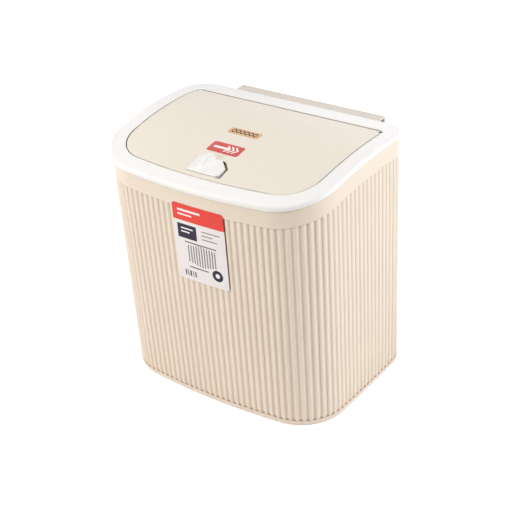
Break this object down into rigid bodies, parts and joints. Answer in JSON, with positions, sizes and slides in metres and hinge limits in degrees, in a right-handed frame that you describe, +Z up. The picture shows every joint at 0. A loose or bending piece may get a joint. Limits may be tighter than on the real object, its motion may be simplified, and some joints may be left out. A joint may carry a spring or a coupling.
{
  "type": "hanging kitchen waste bin",
  "caption": "Ribbed, tapered waste bin with a lift-off rim, a flush hinged lid, a sliding thumb latch and a door hanger at the back.",
  "frame": {"origin": "on the foot plane, under the middle of the rim", "axes": "+Z up; -Y is the front, where the thumb slider is; +X is to the right as seen from the front"},
  "size_m": [0.25, 0.2011, 0.257],
  "materials": {
    "bucket_plastic": "satin",
    "rim_plastic": "satin",
    "lid_plastic": "satin",
    "slider_plastic": "gloss",
    "latch_plastic": "satin",
    "steel": "drawn",
    "red_label": "satin",
    "tan_label": "satin",
    "sticker": "satin",
    "hanger_plastic": "satin",
    "pad_rubber": "matte"
  },
  "bodies": {
    "bucket": {"bucket": "bucket_plastic", "front_sticker": "sticker"},
    "rim": {"rim_frame": "rim_plastic", "latch_keeper": "latch_plastic"},
    "lid": {"lid": "lid_plastic", "hinge_pin_left": "steel", "hinge_pin_right": "steel", "latch_housing": "latch_plastic", "housing_screws": "steel", "return_spring": "steel", "arrow_label": "red_label", "tan_label": "tan_label"},
    "latch": {"slider_button": "slider_plastic", "latch_bolt": "latch_plastic"},
    "hanger": {"door_hanger": "hanger_plastic", "pad_left": "pad_rubber", "pad_right": "pad_rubber"}
  },
  "joints": [
    {"name": "rim_lift", "type": "slide", "parent": "bucket", "child": "rim", "axis": [0, 0, 1], "range_m": [0, 0.04]},
    {"name": "lid_hinge", "type": "hinge", "parent": "rim", "child": "lid", "pos_m": [0, 0.063, 0.25226], "axis": [-1, 0, 0], "range_deg": [0, 95], "deforming": ["latch_keeper"]},
    {"name": "latch_slide", "type": "slide", "parent": "lid", "child": "latch", "axis": [1, 0, 0], "range_m": [0, 0.003], "stiffness_N_per_m": 400, "deforming": ["return_spring"]},
    {"name": "hanger_lift", "type": "slide", "parent": "bucket", "child": "hanger", "axis": [0, 0, -1], "range_m": [0, 0.02]}
  ]
}
